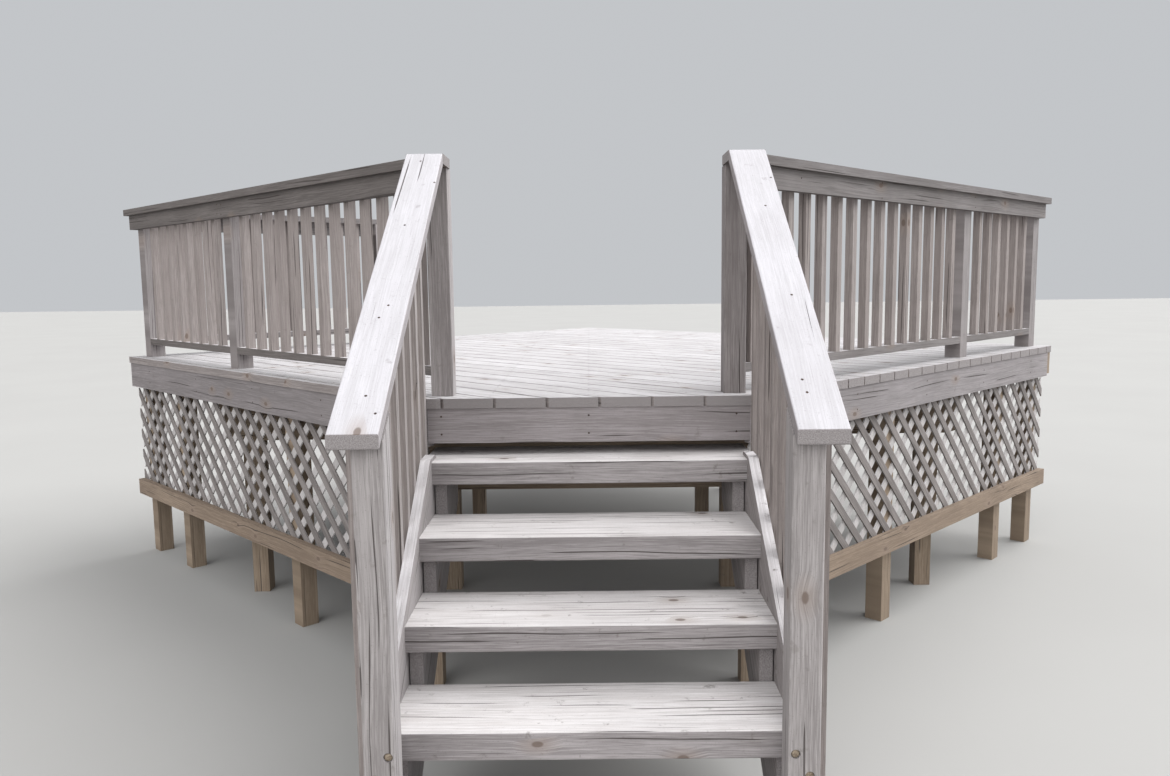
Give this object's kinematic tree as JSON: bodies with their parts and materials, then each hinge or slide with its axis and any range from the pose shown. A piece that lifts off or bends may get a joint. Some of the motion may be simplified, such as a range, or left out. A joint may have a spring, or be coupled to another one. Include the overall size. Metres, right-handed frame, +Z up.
{
  "type": "wooden deck stairs",
  "caption": "Open-riser timber stairs with capped railings, joined to the cut-off front corner of a raised deck with railings and a lattice skirt.",
  "frame": {"origin": "on the ground, in the middle of the whole footprint", "axes": "+Z up, +Y from the foot of the stairs straight up onto the deck, +X to the right of someone who climbs them"},
  "size_m": [6.0616, 6.7426, 2.25],
  "materials": {
    "weathered_stain": "weathered",
    "tread_timber": "weathered",
    "floor_boards": "weathered",
    "lattice_slats": "weathered",
    "bare_timber": "weathered"
  },
  "bodies": {
    "root": {"back_fascia": "weathered_stain", "back_rim": "weathered_stain", "beam_posts": "bare_timber", "beams": "bare_timber", "deck_boards": "floor_boards", "front_fascia": "weathered_stain", "front_rim": "weathered_stain", "house_ledger": "bare_timber", "joists": "bare_timber", "lattice_foot_board_left": "bare_timber", "lattice_foot_board_right": "bare_timber", "lattice_left": "lattice_slats", "lattice_right": "lattice_slats", "left_fascia": "weathered_stain", "left_rim": "weathered_stain", "lower_post_left": "weathered_stain", "lower_post_right": "weathered_stain", "rail_cap_left": "weathered_stain", "rail_cap_right": "weathered_stain", "railing_balusters_left": "weathered_stain", "railing_balusters_right": "weathered_stain", "railing_posts_left": "weathered_stain", "railing_posts_right": "weathered_stain", "railing_rails_left": "weathered_stain", "railing_rails_right": "weathered_stain", "return_balusters": "weathered_stain", "return_cap": "weathered_stain", "return_rails": "weathered_stain", "right_fascia": "weathered_stain", "right_rim": "weathered_stain", "side_posts_left": "bare_timber", "side_posts_right": "bare_timber", "skirt_board_left": "weathered_stain", "skirt_board_right": "weathered_stain", "stair_balusters_left": "weathered_stain", "stair_balusters_right": "weathered_stain", "stair_cap_left": "weathered_stain", "stair_cap_right": "weathered_stain", "stair_top_rail_left": "weathered_stain", "stair_top_rail_right": "weathered_stain", "stringer_left": "weathered_stain", "stringer_right": "weathered_stain", "tread_1": "tread_timber", "tread_2": "tread_timber", "tread_3": "tread_timber", "tread_4": "tread_timber", "tread_5": "tread_timber", "upper_post_left": "weathered_stain", "upper_post_right": "weathered_stain"}
  },
  "joints": []
}
